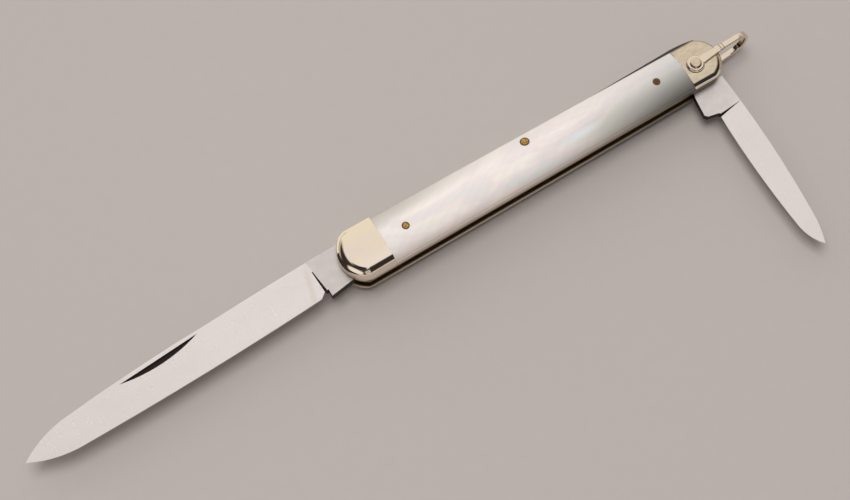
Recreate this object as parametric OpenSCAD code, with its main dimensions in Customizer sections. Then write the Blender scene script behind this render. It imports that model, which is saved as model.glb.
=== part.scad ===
// Two-blade sleeveboard pen knife: main blade open, pen blade half open, bail at the narrow end.
// Millimetres. Origin on the main pivot's axis at the resting face, X along the handle towards
// the bail, Y towards the back spring, Z up out of the mark side.

/* [Handle] */
// length of the closed handle over both bolsters
closed_l = 80.2; // [76:0.2:84]
// handle height where the main bolster meets the scales
main_h = 9.8; // [9.6:0.1:10.4]
// handle height where the bail bolster meets the scales
bail_h = 8.7; // [8.4:0.1:9.4]
// main bolster length along the handle
main_bolster_l = 8.6; // [8.2:0.05:10]
// bail bolster length along the handle
bail_bolster_l = 7.85; // [7.5:0.05:8.7]
// radius of the rounded main end about its pivot
main_end_r = 5.5; // [5.3:0.05:5.8]
// radius of the rounded bail end
bail_end_r = 4.6; // [4.5:0.05:4.9]
// distance from the bail end of the handle to the pen pivot
pen_inset = 5.4; // [5.2:0.05:5.6]

/* [Thicknesses] */
// width of the blade well between the liners
well_w = 2.1; // [2.0:0.05:2.4]
// liner sheet thickness
liner_t = 0.5; // [0.4:0.05:0.7]
// scale thickness at the crown
scale_t = 2.1; // [1.9:0.05:2.3]
// main bolster thickness over its liner
main_bolster_t = 2.5; // [2.4:0.05:2.8]
// bail bolster thickness over its liner
bail_bolster_t = 1.75; // [1.65:0.05:1.8]
// crown radius of the scales
scale_crown_r = 14; // [11:1:30]
// radius rolled along the bolster edges
bolster_roll_r = 1.55; // [1.2:0.05:1.6]
// radius rolled along the scale edges
scale_roll_r = 1.2; // [0.8:0.1:1.4]

/* [Blades] */
// gap from the closed main blade's tip to the pen pivot's axis, along the handle
tip_gap = 1.25; // [1.1:0.05:3]
// pen blade length from its pivot to its tip
pen_l = 39.9; // [34:0.1:41]
// height of the main blade's back over its pivot
main_back = 4.5; // [4.3:0.05:4.6]
// depth of the main blade's edge under its pivot
main_edge = 4.8; // [4.5:0.05:5]
// height of the pen blade's back over its pivot
pen_back = 4.15; // [3.95:0.05:4.3]
// depth of the pen blade's edge under its pivot
pen_edge = 1.28; // [1:0.02:1.6]
// main ricasso length from the pivot to the step
ricasso_l = 9.3; // [8.8:0.1:10]
// angle from the handle to the pen blade in the resting pose
pen_rest = 90; // [80:1:100]

/* [Spring] */
// spring height over the main tang
spring_h = 1.95; // [1.8:0.05:2.1]
// rise of the spring's pen end over the handle's back
spring_lift = 1; // [0.8:0.05:1.1]

/* [Pins] */
// radius of both pivot pins
pivot_r = 0.9; // [0.8:0.05:1]
// radius of the centre and scale pin shanks
pin_r = 0.5; // [0.4:0.05:0.55]
// radius of the centre pin's heads
centre_head_r = 0.9; // [0.8:0.05:1.1]
// radius of the scale pins' heads
scale_head_r = 0.75; // [0.7:0.05:0.9]
// radius of the rivet heads over the bail's eyes
rivet_head_r = 1.1; // [0.98:0.02:1.2]

/* [Bail] */
// bail length from its pivot to the outside of its bend
bail_l = 12.8; // [12:0.1:14]
// wire radius of the bail
bail_wire_r = 0.5; // [0.42:0.02:0.54]
// outside radius of the bail's eyes
bail_eye_r = 1.7; // [1.5:0.05:1.9]
// angle of the bail over the handle's line in the resting pose
bail_rest = 4; // [0:1:8]

/* [Hidden] */
$fn = 96;

// clearances
running_gap = 0.03;
tang_gap = 0.05;
bail_gap = 0.06;
cam_gap = 0.05;
cam_step = 0.03;

// levels over the middle plane
well_z = well_w / 2;
face_z = well_z + liner_t;
mid_z = face_z + main_bolster_t;
tang_z = well_z - tang_gap;
scale_z = face_z + scale_t;
bail_bolster_z = face_z + bail_bolster_t;
bail_eye_z = bail_bolster_z + bail_gap;
bail_eye_t = 0.42;
rivet_z = bail_eye_z + bail_eye_t + bail_gap / 2;
bail_wire_z = mid_z - bail_wire_r - 0.04;
bail_neck_l = 1.4;

// stations along the handle, from the main pivot
joint_main_x = main_bolster_l - main_end_r;
end_x = closed_l - main_end_r;
joint_bail_x = end_x - bail_bolster_l;
pen_x = end_x - pen_inset;
pen_y = -0.3;
bail_end_x = end_x - bail_end_r;
taper = atan((main_h - bail_h) / 2 / (joint_bail_x - joint_main_x));
half_h = main_h / 2 + joint_main_x * tan(taper);

// the bail end's arc passes this far outside the near side's line, and so meets it at an angle
end_corner = 0.2;
bail_end_y = bail_end_r - end_corner - (half_h - bail_end_x * tan(taper));

// centre pin and scale pins
centre_x = pen_x * 0.496;
centre_inset = 2.05;
centre_y = half_h - centre_inset;
scale_pin_x = [pen_x * 0.113, pen_x * 0.882];
scale_pin_y = [0.05, 0.35];
head_rise = 0.05;
head_sink = 0.4;
far = 120;
overcut = 1;

// spring
spring_front_x = -2;
spring_low = half_h - spring_h;
belly_wall = 0.32;
belly_y = centre_y - pin_r - belly_wall;
belly_l = 5.5;
belly_step = 0.15;
spring_nose_l = 3.4;
spring_end_x = pen_x + spring_nose_l;
lift_y = half_h - pen_x * tan(taper) + spring_lift;
spring_end_h = 1.95;
cam_main_r = spring_low - cam_gap;
cam_pen_r = lift_y - spring_end_h - pen_y - cam_gap;
crown_l = 5;
crown_drop = 0.5;
crown_r = crown_l * crown_l / (2 * crown_drop);

// the ground part starts this far past the tang's end, and this much under its face
grind_gap = 0.1;
grind_step = 0.06;
nick_depth = 0.28;
nick_lip = 0.04;

// straight pieces in each long flat arc of a blade and in each arc of its nose
arc_n = 8;
nose_n = 12;

// main blade, measured along the blade and towards its back from its pivot
main_l = pen_x - tip_gap;
main_tip_l = 9.6;
main_tip_share = 0.47;
main_nick_r = 29;
main_root = [11, 4.1];
main_mark_flat = [tang_z - grind_step, 0.0015, 0.029];
main_pile_flat = [0.14 * well_z, 0.0055, -0.033];
main_back_arc = [-16, main_back, 820];
main_edge_arc = [60.6, -main_edge, 755];
main_step_lean = 1.2;
// the ground edge starts this far past the ricasso
main_heel_l = 1.9;
// depth of the ricasso's corner as a share of the edge's
ricasso_share = 0.76;

// pen blade, measured the same way
pen_tip_l = 5.3;
pen_tip_share = 0.7;
pen_nick_r = 16;
pen_kick = 3.25;
pen_back_arc = [8.5, pen_back, 200];
pen_edge_arc = [25.5, -pen_edge, 190];
pen_step_l = 9.6;
pen_step_lean = 0.4;
pen_tang_z = 0.4 * well_z;
pen_root = [10, 4.1];
pen_mark_flat = [pen_tang_z - grind_step, -0.006, 0.075];
pen_pile_flat = [-0.48 * well_z, -0.001, -0.06];

// height of an arc of [station, level, radius] at u, over the bore axis
function back_at(a, u) = a[1] - a[2] + sqrt(a[2] * a[2] - (u - a[0]) * (u - a[0]));
function edge_at(a, u) = a[1] + a[2] - sqrt(a[2] * a[2] - (u - a[0]) * (u - a[0]));
function lean_at(a, u) = asin((u - a[0]) / a[2]);

// level of a flat [z0, slope along u, slope along v], set at point root, over point p
function level(root, flat, p) = flat[0] + flat[1] * (p[0] - root[0]) + flat[2] * (p[1] - root[1]);

// points of the curve f after station a, up to station b
function run_points(a, b, n, f) = [for (i = [1:n]) let (u = a + (b - a) * i / n) [u, f(u)]];

// half height of the handle at a station
function side_y(x) = half_h - x * tan(taper);

// centre and radius of the arc that leaves point p at angle t and passes through q; s says on
// which side of p the centre lies, 1 over it and -1 under it
function nose(p, t, q, s) =
    let (w = q - p)
    let (a = w[0] * cos(t) + w[1] * sin(t))
    let (b = s * (w[1] * cos(t) - w[0] * sin(t)))
    let (r = (a * a + b * b) / (2 * b))
    [p[0] - s * r * sin(t), p[1] + s * r * cos(t), r];

module row() {
    translate([0, 0, mid_z]) children();
}

// puts what is built over the mark side on either side of the middle plane
module on_side(s) {
    mirror([0, 0, s < 0 ? 1 : 0]) children();
}

// everything over (keep = 1) or under (keep = -1) the plane z0 + su * x + sv * y about point p
module half_space(p, z0, su, sv, keep) {
    translate([p[0], p[1], z0])
        rotate([atan(sv), -atan(su), 0])
            translate([-far, -far, keep > 0 ? 0 : -far])
                cube([2 * far, 2 * far, far]);
}

// outline of the handle seen from the mark side
module handle_plan() {
    intersection() {
        polygon([[-main_end_r, side_y(-main_end_r)], [end_x, side_y(end_x)],
                 [end_x, -side_y(end_x)], [-main_end_r, -side_y(-main_end_r)]]);
        union() {
            circle(r = main_end_r);
            translate([0, -main_h]) square([bail_end_x, 2 * main_h]);
            translate([bail_end_x, bail_end_y]) circle(r = bail_end_r);
        }
    }
}

// section with one rolled edge at y = h, t thick, rolled by radius r
module roll_section(h, t, r) {
    translate([-far / 4, 0]) square([far / 4 + h - r, t]);
    translate([-far / 4, 0]) square([far / 4 + h, t - r]);
    translate([h - r, t - r]) circle(r = r);
}

// bar from x0 to x1, t thick, both long edges rolled by r and following the taper
module bolster_bar(t, r, x0, x1) {
    intersection() {
        rotate([0, 0, -taper]) translate([-far / 4, 0, 0])
            rotate([90, 0, 90]) linear_extrude(far) roll_section(half_h * cos(taper), t, r);
        mirror([0, 1, 0]) rotate([0, 0, -taper]) translate([-far / 4, 0, 0])
            rotate([90, 0, 90]) linear_extrude(far) roll_section(half_h * cos(taper), t, r);
        translate([x0, -main_h, 0]) cube([x1 - x0, 2 * main_h, t]);
    }
}

// rounded end of radius e with the same rolled edge
module rolled_end(e, t, r) {
    rotate_extrude() intersection() {
        square([e, t]);
        roll_section(e, t, r);
    }
}

module liner(s) {
    on_side(s) translate([0, 0, well_z]) linear_extrude(liner_t) difference() {
        handle_plan();
        circle(r = pivot_r);
        translate([pen_x, pen_y]) circle(r = pivot_r);
        translate([centre_x, centre_y]) circle(r = pin_r);
        for (i = [0, 1])
            translate([scale_pin_x[i], scale_pin_y[i]]) circle(r = pin_r);
    }
}

// hole for a pin shank and its sunk end
module pin_hole(y, r) {
    cylinder(h = mid_z, r = pin_r);
    pin_end(y, r, 1);
}

module pearl_scale(s) {
    on_side(s) translate([0, 0, face_z]) difference() {
        intersection() {
            bolster_bar(scale_t, scale_roll_r, joint_main_x, joint_bail_x);
            translate([joint_main_x - overcut, 0, scale_t - scale_crown_r]) rotate([0, 90, 0])
                cylinder(h = joint_bail_x - joint_main_x + 2 * overcut, r = scale_crown_r, $fn = 240);
        }
        translate([0, 0, -face_z]) {
            translate([centre_x, centre_y, 0]) pin_hole(centre_y, centre_head_r);
            for (i = [0, 1])
                translate([scale_pin_x[i], scale_pin_y[i], 0])
                    pin_hole(scale_pin_y[i], scale_head_r);
        }
    }
}

module main_bolster(s) {
    on_side(s) translate([0, 0, face_z]) difference() {
        intersection() {
            bolster_bar(main_bolster_t, bolster_roll_r, -main_end_r, joint_main_x);
            union() {
                rolled_end(main_end_r, main_bolster_t, bolster_roll_r);
                translate([0, -main_h, 0]) cube([joint_main_x, 2 * main_h, main_bolster_t]);
            }
        }
        translate([0, 0, -overcut]) cylinder(h = main_bolster_t + 2 * overcut, r = pivot_r);
    }
}

module bail_bolster(s) {
    on_side(s) translate([0, 0, face_z]) difference() {
        intersection() {
            bolster_bar(bail_bolster_t, bolster_roll_r, joint_bail_x, end_x);
            union() {
                translate([bail_end_x, bail_end_y, 0])
                    rolled_end(bail_end_r, bail_bolster_t, bolster_roll_r);
                translate([joint_bail_x, -main_h, 0])
                    cube([bail_end_x - joint_bail_x, 2 * main_h, bail_bolster_t]);
            }
        }
        translate([pen_x, pen_y, -overcut]) cylinder(h = bail_bolster_t + 2 * overcut, r = pivot_r);
    }
}

// side view of the spring: flush over the main tang, held at its belly, lifted at the pen end
module spring_plan() {
    difference() {
        polygon([[spring_front_x, side_y(spring_front_x)], [centre_x, side_y(centre_x)],
                 [spring_end_x - crown_l, lift_y], [spring_end_x, lift_y],
                 [spring_end_x, lift_y - spring_end_h], [centre_x + belly_l, spring_low - belly_step],
                 [centre_x + belly_l / 2, belly_y], [centre_x - belly_l / 2, belly_y],
                 [centre_x - belly_l, spring_low], [spring_front_x, spring_low]]);
        translate([spring_end_x - crown_l, lift_y - crown_r])
            difference() {
                square([2 * crown_l, 2 * crown_r]);
                circle(r = crown_r, $fn = 720);
            }
        translate([centre_x, centre_y]) circle(r = pin_r);
    }
}

module backspring() {
    row() color("lightsteelblue") translate([0, 0, -well_z]) linear_extrude(well_w) spring_plan();
}

// sheet between the levels z0 and z1
module plate(z0, z1) {
    translate([0, 0, z0]) linear_extrude(z1 - z0) children();
}

// outline of a ground blade after its back's station u0, round its tip at station l to its heel;
// the tip lies at a share of the way from the edge's tangent to the back's
function blade_points(back, edge, u0, u1, l, share, heel_u) =
    let (low = edge_at(edge, u1) + (l - u1) * tan(lean_at(edge, u1)))
    let (high = back_at(back, u1) - (l - u1) * tan(lean_at(back, u1)))
    let (v = low + share * (high - low))
    let (nb = nose([u1, back_at(back, u1)], -lean_at(back, u1), [l, v], -1))
    let (ne = nose([u1, edge_at(edge, u1)], lean_at(edge, u1), [l, v], 1))
    [each run_points(u0, u1, arc_n, function (u) back_at(back, u)),
     each run_points(u1, l, nose_n, function (u) nb[1] + sqrt(nb[2] ^ 2 - (u - nb[0]) ^ 2)),
     each run_points(l, u1, nose_n, function (u) ne[1] - sqrt(ne[2] ^ 2 - (u - ne[0]) ^ 2)),
     each run_points(u1, heel_u, arc_n, function (u) edge_at(edge, u))];

// crescent nail nick in a blade's flat on side s: a straight wall from a to b, nick_depth deep,
// and a floor that rises to nick_lip under the flat at an arc of radius r
module nick(a, b, r, root, flat, s) {
    t = atan2(b[1] - a[1], b[0] - a[0]);
    len = norm(b - a);
    centre_v = sqrt(r * r - len * len / 4);
    rise = (nick_depth - nick_lip) / (r - centre_v);
    intersection() {
        on_side(s) plate(0, 2 * well_z) translate(a) rotate([0, 0, t]) intersection() {
            translate([-1, -r]) square([len + 2, r]);
            translate([len / 2, centre_v]) circle(r = r, $fn = 360);
        }
        half_space(a, level(root, flat, a) - s * nick_depth, flat[1] + s * rise * sin(t),
                   flat[2] - s * rise * cos(t), s);
    }
}

// the whole main blade before grinding: cam, tang and blade in one sheet
module main_blank() {
    tang_u = cam_gap - spring_front_x;
    flat_v = cam_main_r - cam_step;
    plate(-tang_z, tang_z) circle(r = cam_main_r);
    plate(-tang_z, tang_z)
        polygon([[-0.1, flat_v], [tang_u, flat_v], [tang_u, back_at(main_back_arc, tang_u)],
                 each blade_points(main_back_arc, main_edge_arc, tang_u, main_l - main_tip_l,
                                   main_l, main_tip_share, ricasso_l + main_heel_l),
                 [ricasso_l + 0.9, -main_edge * 0.5], [ricasso_l, -main_edge * 0.48],
                 [ricasso_l, -main_edge * ricasso_share], [ricasso_l * 0.45, -main_edge * 0.6],
                 [-0.1, -main_edge * 0.47]]);
}

// what the grinding wheel takes from the main blade's side s
module main_grind(s) {
    flat = s > 0 ? main_mark_flat : main_pile_flat;
    intersection() {
        plate(-far, far)
            polygon([[ricasso_l + grind_gap, -main_h],
                     [ricasso_l + grind_gap, -main_edge * ricasso_share],
                     [ricasso_l + grind_gap + main_step_lean, main_h * 0.6], [far, main_h * 0.6],
                     [far, -main_h]]);
        half_space(main_root, flat[0], flat[1], flat[2], s);
    }
}

module main_blade() {
    nick_a = main_l * 0.481;
    nick_b = main_l * 0.711;
    row() color("silver") mirror([1, 0, 0]) difference() {
        main_blank();
        main_grind(1);
        main_grind(-1);
        cylinder(h = 3 * well_w, r = pivot_r + running_gap, center = true);
        nick([nick_a, back_at(main_back_arc, nick_a) - 0.5],
             [nick_b, back_at(main_back_arc, nick_b) - 0.54], main_nick_r, main_root, main_mark_flat, 1);
    }
}

// the whole pen blade before grinding
module pen_blank() {
    tang_u = spring_end_x - pen_x + cam_gap;
    flat_v = cam_pen_r - cam_step;
    plate(-tang_z, pen_tang_z) circle(r = cam_pen_r);
    plate(-tang_z, pen_tang_z)
        polygon([[-0.1, flat_v], [tang_u, flat_v], [tang_u, back_at(pen_back_arc, tang_u)],
                 each blade_points(pen_back_arc, pen_edge_arc, tang_u, pen_l - pen_tip_l, pen_l,
                                   pen_tip_share, pen_step_l + 0.63),
                 [pen_step_l + 0.5, -0.5], [pen_step_l, -0.53], [pen_step_l - 0.2, -0.85],
                 [pen_step_l - 0.6, -pen_kick * 0.86], [pen_step_l - 1.1, -pen_kick],
                 [pen_step_l * 0.73, -pen_kick * 0.94], [pen_step_l * 0.52, -pen_kick * 0.85],
                 [pen_step_l * 0.31, -pen_kick * 0.69], [-0.1, -pen_kick * 0.69]]);
}

// what the grinding wheel takes from the pen blade's side s
module pen_grind(s) {
    flat = s > 0 ? pen_mark_flat : pen_pile_flat;
    intersection() {
        plate(-far, far)
            polygon([[pen_step_l + grind_gap, -main_h], [pen_step_l + grind_gap, -0.5],
                     [pen_step_l - pen_step_lean, main_h * 0.6], [far, main_h * 0.6],
                     [far, -main_h]]);
        half_space(pen_root, flat[0], flat[1], flat[2], s);
    }
}

module pen_blade() {
    nick_a = pen_l * 0.42;
    nick_b = pen_l * 0.7;
    row() color("silver") translate([pen_x, pen_y, 0]) rotate([0, 0, -pen_rest]) difference() {
        pen_blank();
        pen_grind(1);
        pen_grind(-1);
        cylinder(h = 3 * well_w, r = pivot_r + running_gap, center = true);
        nick([nick_a, back_at(pen_back_arc, nick_a) - 0.45],
             [nick_b, back_at(pen_back_arc, nick_b) - 0.5], pen_nick_r, pen_root, pen_pile_flat,
             -1);
    }
}

module main_pivot_pin() {
    row() color("gainsboro") cylinder(h = 2 * mid_z, r = pivot_r, center = true);
}

module pen_pivot_pin() {
    head_h = mid_z - rivet_z;
    dome_r = (rivet_head_r * rivet_head_r + head_h * head_h) / (2 * head_h) + 0.3;
    row() color("gainsboro") translate([pen_x, pen_y, 0]) {
        cylinder(h = 2 * rivet_z, r = pivot_r, center = true);
        for (s = [1, -1])
            on_side(s) rotate_extrude() intersection() {
                translate([0, rivet_z]) square([rivet_head_r, head_h]);
                translate([0, mid_z - dome_r]) circle(r = dome_r);
            }
    }
}

// height of a scale's crown at y
function crown_z(y) = scale_z - scale_crown_r + sqrt(scale_crown_r * scale_crown_r - y * y);

// pin end sunk into the crown at y: r wide, standing out by head_rise
module pin_end(y, r, extra) {
    translate([0, 0, crown_z(y) - head_sink])
        cylinder(h = head_sink + head_rise + extra, r = r);
}

module centre_pin() {
    row() color("goldenrod") translate([centre_x, centre_y, 0]) {
        cylinder(h = 2 * (crown_z(centre_y) - head_sink / 2), r = pin_r, center = true);
        for (s = [1, -1])
            on_side(s) pin_end(centre_y, centre_head_r, 0);
    }
}

module scale_pins() {
    row() color("goldenrod") for (s = [1, -1], i = [0, 1])
        on_side(s) translate([scale_pin_x[i], scale_pin_y[i], 0]) {
            translate([0, 0, well_z])
                cylinder(h = crown_z(scale_pin_y[i]) - head_sink / 2 - well_z, r = pin_r);
            pin_end(scale_pin_y[i], scale_head_r, 0);
        }
}

module bail() {
    bend_x = bail_l - bail_wire_r - bail_wire_z;
    wire_x = end_x - pen_x + 0.4;
    arm_w = bail_eye_r * 0.47;
    row() color("gainsboro") translate([pen_x, pen_y, 0]) rotate([0, 0, bail_rest]) {
        for (s = [1, -1])
            on_side(s) difference() {
                union() {
                    translate([0, 0, bail_eye_z]) linear_extrude(bail_eye_t) {
                        circle(r = bail_eye_r);
                        polygon([[0, arm_w], [wire_x + 0.9, bail_wire_r],
                                 [wire_x + 0.9, -bail_wire_r], [0, -arm_w]]);
                    }
                    translate([wire_x, 0, bail_wire_z]) rotate([0, 90, 0])
                        cylinder(h = bail_neck_l, r1 = bail_eye_t / 2, r2 = bail_wire_r);
                    translate([wire_x + bail_neck_l, 0, bail_wire_z]) rotate([0, 90, 0])
                        cylinder(h = bend_x - wire_x - bail_neck_l, r = bail_wire_r);
                }
                translate([0, 0, bail_eye_z - overcut])
                    cylinder(h = bail_eye_t + 2 * overcut, r = pivot_r + running_gap);
            }
        translate([bend_x, 0, 0]) rotate([90, 0, 0]) rotate([0, 0, -90])
            rotate_extrude(angle = 180) translate([bail_wire_z, 0]) circle(r = bail_wire_r);
    }
}

module mark_liner() {
    row() color("tan") liner(1);
}

module pile_liner() {
    row() color("tan") liner(-1);
}

module mark_scale() {
    row() color("ivory") pearl_scale(1);
}

module pile_scale() {
    row() color("ivory") pearl_scale(-1);
}

module main_bolster_mark() {
    row() color("gainsboro") main_bolster(1);
}

module main_bolster_pile() {
    row() color("gainsboro") main_bolster(-1);
}

module bail_bolster_mark() {
    row() color("gainsboro") bail_bolster(1);
}

module bail_bolster_pile() {
    row() color("gainsboro") bail_bolster(-1);
}

mark_liner();
pile_liner();
backspring();
mark_scale();
pile_scale();
main_bolster_mark();
main_bolster_pile();
bail_bolster_mark();
bail_bolster_pile();
main_blade();
pen_blade();
main_pivot_pin();
pen_pivot_pin();
centre_pin();
scale_pins();
bail();
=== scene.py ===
import math
from collections import namedtuple

import bmesh
import bpy
from bpy.props import FloatProperty, FloatVectorProperty
from mathutils import Matrix, Vector


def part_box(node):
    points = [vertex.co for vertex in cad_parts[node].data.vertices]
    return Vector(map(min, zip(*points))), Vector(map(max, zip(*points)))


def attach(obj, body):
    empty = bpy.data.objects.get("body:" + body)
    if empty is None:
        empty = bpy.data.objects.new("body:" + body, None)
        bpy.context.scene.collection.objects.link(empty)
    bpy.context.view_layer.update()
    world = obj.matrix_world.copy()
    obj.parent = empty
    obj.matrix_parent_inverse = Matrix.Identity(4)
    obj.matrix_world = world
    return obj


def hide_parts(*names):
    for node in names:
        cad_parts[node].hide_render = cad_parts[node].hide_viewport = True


bl_info = {
    "name": "Sleeveboard Pen Knife",
    "version": (1, 0, 0),
    "blender": (4, 5, 0),
    "location": "3D View > Sidebar > Pen Knife",
    "description": "Finished surfaces of a two-blade pen knife around its packed frame",
    "category": "Object",
}

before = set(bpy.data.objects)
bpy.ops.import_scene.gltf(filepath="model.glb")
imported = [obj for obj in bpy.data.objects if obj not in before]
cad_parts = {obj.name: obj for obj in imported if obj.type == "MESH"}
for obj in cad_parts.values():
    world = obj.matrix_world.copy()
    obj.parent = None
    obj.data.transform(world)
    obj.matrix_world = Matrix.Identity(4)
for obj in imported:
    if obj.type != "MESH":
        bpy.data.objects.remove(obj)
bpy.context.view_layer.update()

MM = 0.001


def corners_of(node):
    """The low and the high corner of a node's box, in millimetres."""
    return [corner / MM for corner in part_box(node)]


# the frame's own levels and stations, in millimetres
SCALE_LOW, SCALE_HIGH = corners_of("mark_scale")
MAIN_LOW, MAIN_HIGH = corners_of("main_bolster_mark")
BAIL_LOW, BAIL_HIGH = corners_of("bail_bolster_mark")
PEN_PIN_LOW, PEN_PIN_HIGH = corners_of("pen_pivot_pin")
MID_Z = MAIN_HIGH.z / 2
JOINT_MAIN_X = SCALE_LOW.x
JOINT_BAIL_X = SCALE_HIGH.x
TAPER = (SCALE_HIGH.y - BAIL_HIGH.y) / (JOINT_BAIL_X - JOINT_MAIN_X)
PEN_X = (PEN_PIN_LOW.x + PEN_PIN_HIGH.x) / 2
PEN_Y = (PEN_PIN_LOW.y + PEN_PIN_HIGH.y) / 2

# bolsters: the round end at the bail, and the rise of their flats in the middle
BAIL_END_R = 4.6
BAIL_END_Y = 0.042
BOLSTER_CROWN = 0.05
FACET_CORNER = 0.14

# pins: radii, how far the scale pins are out of line, the blade well that their shanks keep
# clear of, and how far the pivot pins stop short of the flats
PIVOT_R = 0.9
RIVET_R = 1.1
SHANK_R = 0.5
SCALE_PIN_STEP = 0.3
WELL_HALF = 1.08
FLUSH = 0.05
HEAD_SUNK = 0.34
HEAD_H = 0.38
SHANK_BITE = 0.2

# bail, with heights from the middle plane: its eyes, its length from the pivot to the tip, its
# angle as it lies, and its bend with the section of the wire there
EYE_LOW = 3.36
EYE_T = 0.42
EYE_R = 1.7
EYE_GAP = 0.03
BAIL_L = 12.76
BAIL_REST = 4
BEND_R = 3.05
WIRE_HALF_W = 0.6
WIRE_HALF_T = 0.36
WIRE_CORNER = 0.2

# a blade turned to point along +X from its pivot: the side its back is on, its tang's length, the
# shares of its reach that its nail nick spans, the face that the nick is cut in, the stations of
# the nick's straight edge, how wide its plunge is and where that fades, whether the step dies out
# at the back, and how light its ground steel and its tang are
Blade = namedtuple("Blade", "pivot heading back tang nick nick_face nick_edge plunge fade dies_out "
                            "ground filed")
BLADES = {
    "main_blade": Blade(pivot=Vector((0, 0, MID_Z)), heading=180, back=-1, tang=9.3,
                        nick=(0.47, 0.72), nick_face=1, nick_edge=(37, 51.7), plunge=0.5,
                        fade=2.0, dies_out=True, ground=1.0, filed=1.0),
    "pen_blade": Blade(pivot=Vector((PEN_X, PEN_Y, MID_Z)), heading=-90, back=1, tang=9.6,
                       nick=(0.4, 0.72), nick_face=-1, nick_edge=(0, 0), plunge=0.42,
                       fade=3.9, dies_out=False, ground=0.97, filed=1.1),
}
NICK_EDGE_Y = 1.6
NICK_LIFT = 0.16
NICK_BELOW_BACK = 0.25
NICK_AREA = 16
STEP_RUN = 1.6
STEP_DEEPEST = 0.7
STEP_LEFT = 0.012
TOUCH = 0.02

# places on a blade's mesh, by the order of its materials
ON_TANG, IN_SHADOW = 1, 2

VERT, EDGE = bmesh.types.BMVert, bmesh.types.BMEdge


def side_y(x):
    """Half height of the handle at a station along it."""
    return SCALE_HIGH.y - TAPER * (x - JOINT_MAIN_X)


def linear(code):
    """Linear colour of an sRGB hex code."""
    parts = [int(code[i:i + 2], 16) / 255 for i in (1, 3, 5)]
    return [p / 12.92 if p <= 0.04045 else ((p + 0.055) / 1.055) ** 2.4 for p in parts]


# sizes and colours that the sidebar shows

class KnifeSizes(bpy.types.PropertyGroup):
    """Sizes of the finishing cuts, all in metres"""

    main_facet: FloatProperty(
        name="Main Facet", description="Width of the facet along the main bolsters' edges",
        default=1.06 * MM, min=0.4 * MM, max=1.3 * MM, unit="LENGTH")
    bail_facet: FloatProperty(
        name="Bail Facet", description="Width of the facet along the bail bolsters' edges",
        default=0.7 * MM, min=0.4 * MM, max=1.1 * MM, unit="LENGTH")
    main_shoulder: FloatProperty(
        name="Main Shoulder", description="Radius from the main bolsters' sides into their end",
        default=3.0 * MM, min=2.2 * MM, max=4.5 * MM, unit="LENGTH")
    bail_shoulder: FloatProperty(
        name="Bail Shoulder", description="Radius from the bail bolsters' sides into their end",
        default=2.4 * MM, min=1.8 * MM, max=4.0 * MM, unit="LENGTH")
    bolster_roll: FloatProperty(
        name="Bolster Roll", description="Width buffed round where a facet meets the flat top",
        default=0.9 * MM, min=0.1 * MM, max=1.0 * MM, unit="LENGTH")
    bail_roll: FloatProperty(
        name="Bail Roll", description="The same width on the bail bolsters",
        default=0.66 * MM, min=0.1 * MM, max=0.8 * MM, unit="LENGTH")
    scale_roll: FloatProperty(
        name="Scale Roll", description="Radius rolled along the scales' edges",
        default=0.8 * MM, min=0.4 * MM, max=1.5 * MM, unit="LENGTH")
    scale_crown: FloatProperty(
        name="Scale Crown", description="Radius of the scales' crown across the handle",
        default=14 * MM, min=10 * MM, max=40 * MM, unit="LENGTH")
    blade_ease: FloatProperty(
        name="Blade Ease", description="Width polished off the blades' corners",
        default=0.07 * MM, min=0.01 * MM, max=0.12 * MM, unit="LENGTH")
    spring_ease: FloatProperty(
        name="Spring Ease", description="Width polished off the spring's corners",
        default=0.09 * MM, min=0.01 * MM, max=0.2 * MM, unit="LENGTH")


class KnifeColours(bpy.types.PropertyGroup):
    """Colours of the knife's materials and of the stage"""

    steel: FloatVectorProperty(
        name="Blade Steel", description="Ground and glazed blade steel",
        default=linear("#E4DCDA"), subtype="COLOR", min=0, max=1)
    spring_steel: FloatVectorProperty(
        name="Spring Steel", description="Hardened back spring",
        default=linear("#5E5852"), subtype="COLOR", min=0, max=1)
    nickel_silver: FloatVectorProperty(
        name="Nickel Silver", description="Bolsters, pivot pins and bail",
        default=linear("#E9DACD"), subtype="COLOR", min=0, max=1)
    yellowed_nickel: FloatVectorProperty(
        name="Yellowed Nickel", description="Nickel silver where it has yellowed",
        default=linear("#EDE0C5"), subtype="COLOR", min=0, max=1)
    brass: FloatVectorProperty(
        name="Brass", description="Scale pins and centre pin",
        default=linear("#C79A55"), subtype="COLOR", min=0, max=1)
    pearl: FloatVectorProperty(
        name="Pearl", description="Main body of the mother-of-pearl",
        default=linear("#FAF0E9"), subtype="COLOR", min=0, max=1)
    pearl_grey: FloatVectorProperty(
        name="Pearl Grey", description="Cool cloudy parts of the mother-of-pearl",
        default=linear("#C3C5C6"), subtype="COLOR", min=0, max=1)
    table: FloatVectorProperty(
        name="Table", description="Pale floor that the knife lies on",
        default=linear("#B7AEA9"), subtype="COLOR", min=0, max=1)


# materials

def add(tree, kind, inputs=None, **settings):
    """Add one node, set its properties or inputs by name, then link or set its other inputs.

    An input takes a value, a socket, or a node, whose first output in use is linked."""
    node = tree.nodes.new("ShaderNode" + kind)
    for key, value in settings.items():
        if hasattr(node, key):
            setattr(node, key, value)
        else:
            node.inputs[key.replace("_", " ")].default_value = value
    for key, source in (inputs or {}).items():
        if isinstance(source, bpy.types.Node):
            source = next(output for output in source.outputs if output.enabled)
        if isinstance(source, bpy.types.NodeSocket):
            tree.links.new(source, node.inputs[key])
        else:
            node.inputs[key].default_value = source
    return node


def new_finish(name):
    """A material with an empty node tree."""
    finish = bpy.data.materials.new(name)
    finish.use_nodes = True
    finish.node_tree.nodes.clear()
    return finish, finish.node_tree


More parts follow.
